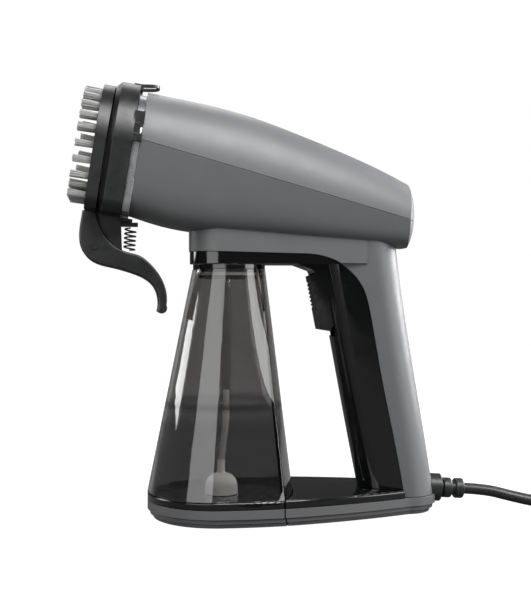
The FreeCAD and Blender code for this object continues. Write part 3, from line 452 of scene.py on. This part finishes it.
def makeFilament():
    # one filament of unit length, drawn out of a small filled circle and rounded off at its tip
    deselectAll()
    bpy.ops.mesh.primitive_circle_add(vertices=6, radius=bristle["filament"] * mm, fill_type="NGON",
                                      location=(0, 0, 0))
    filament = bpy.context.object
    bpy.ops.object.mode_set(mode="EDIT")
    bpy.ops.mesh.select_all(action="SELECT")
    for rise, narrow in ((0.5, 1.0), (0.46, 0.94), (0.04, 0.55)):
        bpy.ops.mesh.extrude_region_move(TRANSFORM_OT_translate={"value": (0, 0, rise)})
        bpy.ops.transform.resize(value=(narrow, narrow, 1))
    bpy.ops.mesh.select_all(action="SELECT")
    bpy.ops.mesh.normals_make_consistent(inside=False)
    bpy.ops.object.mode_set(mode="OBJECT")
    return filament


def makeBristles():
    filament = makeFilament()
    whole = bmesh.new()
    spec = bristle
    jog = spec["jog"]
    for a, b in tuftSpots():
        for ring, radius in enumerate(spec["rings"]):
            count = max(1, ring * 6)
            for i in range(count):
                around = 2 * math.pi * (i + 0.5 * (ring % 2)) / count
                out = Vector((math.cos(around), math.sin(around))) * radius
                start = Vector((a + out.x, b + out.y, spec["root"]))
                tipA = a + out.x * spec["fan"] + random.uniform(-jog, jog)
                tipB = b + out.y * spec["fan"] + random.uniform(-jog, jog)
                end = Vector((tipA, tipB, spec["tip"] - random.uniform(0, spec["uneven"])))
                lean = (end - start) * mm
                turn = lean.to_track_quat("Z", "Y").to_matrix().to_4x4()
                size = Matrix.Diagonal((1, 1, lean.length, 1))
                copy = filament.data.copy()
                copy.transform(facePlace @ Matrix.Translation(start * mm) @ turn @ size)
                whole.from_mesh(copy)
                bpy.data.meshes.remove(copy)
    bpy.data.objects.remove(filament)
    mesh = bpy.data.meshes.new("bristleTufts")
    whole.to_mesh(mesh)
    whole.free()
    mesh.shade_smooth()
    piece = bpy.data.objects.new("bristle_tufts", mesh)
    bpy.context.scene.collection.objects.link(piece)
    dress(piece, filamentFinish)
    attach(piece, "jaw")
    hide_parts("bristles")
    print("bristles made,", len(mesh.polygons), "faces")


makeBristles()


# Springs: a ring of wire wound by a screw, its cut ends filled
springs = {
    "lever_coil": {"node": "lever_spring", "body": "attachment", "from": (-82.2, 0.0, 187.9),
                   "to": (-83.2, 0.0, 172.6), "radius": 3.5, "wire": 0.55, "turns": 5},
    "trigger_coil": {"node": "trigger_spring", "body": "body", "from": (56.1, 0.0, 128.0),
                     "to": (65.9, 0.0, 128.0), "radius": 3.0, "wire": 0.4, "turns": 5}}


def makeSpring(name, spec):
    deselectAll()
    start, end = point(*spec["from"]), point(*spec["to"])
    axis = (end - start).normalized()
    start, end = start + axis * spec["wire"] * mm, end - axis * spec["wire"] * mm
    bpy.ops.mesh.primitive_circle_add(vertices=12, radius=spec["wire"] * mm,
                                      location=(spec["radius"] * mm, 0, 0),
                                      rotation=(math.radians(90), 0, 0))
    spring = bpy.context.object
    spring.name = name
    settle(spring)
    wound = spring.modifiers.new("wound", "SCREW")
    wound.axis = "Z"
    wound.angle = 2 * math.pi
    wound.screw_offset = (end - start).length / spec["turns"]
    wound.iterations = spec["turns"]
    wound.steps = wound.render_steps = 28
    wound.use_smooth_shade = True
    bpy.ops.object.modifier_apply(modifier="wound")
    bpy.ops.object.mode_set(mode="EDIT")
    bpy.ops.mesh.select_all(action="DESELECT")
    bpy.ops.mesh.select_mode(type="EDGE")
    bpy.ops.mesh.select_non_manifold()
    bpy.ops.mesh.edge_face_add()
    bpy.ops.mesh.select_all(action="SELECT")
    bpy.ops.mesh.normals_make_consistent(inside=False)
    bpy.ops.object.mode_set(mode="OBJECT")
    spring.rotation_mode = "QUATERNION"
    spring.rotation_quaternion = axis.to_track_quat("Z", "Y")
    spring.location = start
    settle(spring)
    dress(spring, springFinish)
    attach(spring, spec["body"])
    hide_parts(spec["node"])


for name, spec in springs.items():
    makeSpring(name, spec)
print("springs wound")


# Floor and soft studio light
studio = {
    "floor": "#4c4c4b", "floorRadius": 2.4, "floorZ": -0.0002, "floorWhite": 1.0,
    "backdrop": 1.0, "roomLight": 0.06,
    "softboxes": [
        # name, place, aimed at, width, height, watts
        ("key", (0.20, -0.72, 1.05), (0.03, 0.0, 0.16), 0.9, 0.6, 20.0),
        ("leftBox", (-0.78, -1.00, 0.30), (-0.02, 0.0, 0.12), 0.95, 0.9, 8.0),
        ("rightBox", (1.07, -0.55, 0.30), (0.05, 0.0, 0.12), 0.70, 0.9, 10.0),
        ("rearBox", (1.10, 0.35, 0.55), (0.06, 0.0, 0.14), 0.5, 0.8, 28.0),
        ("backFill", (-0.10, 0.75, 1.05), (0.0, 0.0, 0.14), 0.9, 0.6, 4.5),
        ("noseBox", (-1.05, 0.40, 0.50), (-0.06, 0.0, 0.18), 0.5, 0.6, 7.0)]}


def makeFloor():
    deselectAll()
    bpy.ops.mesh.primitive_circle_add(vertices=96, radius=studio["floorRadius"], fill_type="NGON",
                                      location=(0, 0, studio["floorZ"]))
    floor = bpy.context.object
    floor.name = "studio_floor"
    settle(floor)
    material, tree = newMaterial("palePaper")
    place = addNode(tree, "ShaderNodeTexCoord").outputs["Object"]
    fibre = addNode(tree, "ShaderNodeTexNoise", {"Scale": perMetre(3), "Detail": 3.0}, {"Vector": place})
    bump = addNode(tree, "ShaderNodeBump", {"Strength": 0.05, "Distance": 0.1 * mm},
                   {"Height": fibre.outputs["Fac"]})
    # lit from below as on a light table, as far as it is looked at; it throws little light back
    glow = addNode(tree, "ShaderNodeMath", {"operation": "MULTIPLY", 1: studio["floorWhite"]},
                   {0: seenDirectly(tree)})
    shader = addNode(tree, "ShaderNodeBsdfPrincipled",
                     {"Base Color": linearColour(studio["floor"]), "Roughness": 0.9,
                      "Emission Color": (1, 1, 1, 1)},
                     {"Normal": bump.outputs[0], "Emission Strength": glow.outputs[0]})
    closeMaterial(tree, shader)
    dress(floor, material)


def makeRoom():
    # the room is dim, so that black gloss stays black; what is seen directly or through the tank is white
    world = bpy.data.worlds.new("studio")
    bpy.context.scene.world = world
    world.use_nodes = True
    tree = world.node_tree
    tree.nodes.clear()
    strength = addNode(tree, "ShaderNodeMapRange",
                       {"To Min": studio["roomLight"], "To Max": studio["backdrop"]},
                       {"Value": seenDirectly(tree)})
    light = addNode(tree, "ShaderNodeBackground", {"Color": (1, 1, 1, 1)}, {"Strength": strength.outputs[0]})
    addNode(tree, "ShaderNodeOutputWorld", {}, {"Surface": light.outputs[0]})


def makeSoftbox(name, place, target, wide, tall, watts):
    data = bpy.data.lights.new(name, "AREA")
    data.shape = "RECTANGLE"
    data.size, data.size_y = wide, tall
    data.energy = watts
    softbox = bpy.data.objects.new(name, data)
    bpy.context.scene.collection.objects.link(softbox)
    softbox.location = place
    softbox.rotation_euler = (Vector(target) - Vector(place)).to_track_quat("-Z", "Y").to_euler()


makeFloor()
makeRoom()
for softbox in studio["softboxes"]:
    makeSoftbox(*softbox)
bpy.context.scene.view_settings.view_transform = "Standard"
print("studio lit")

deselectAll()
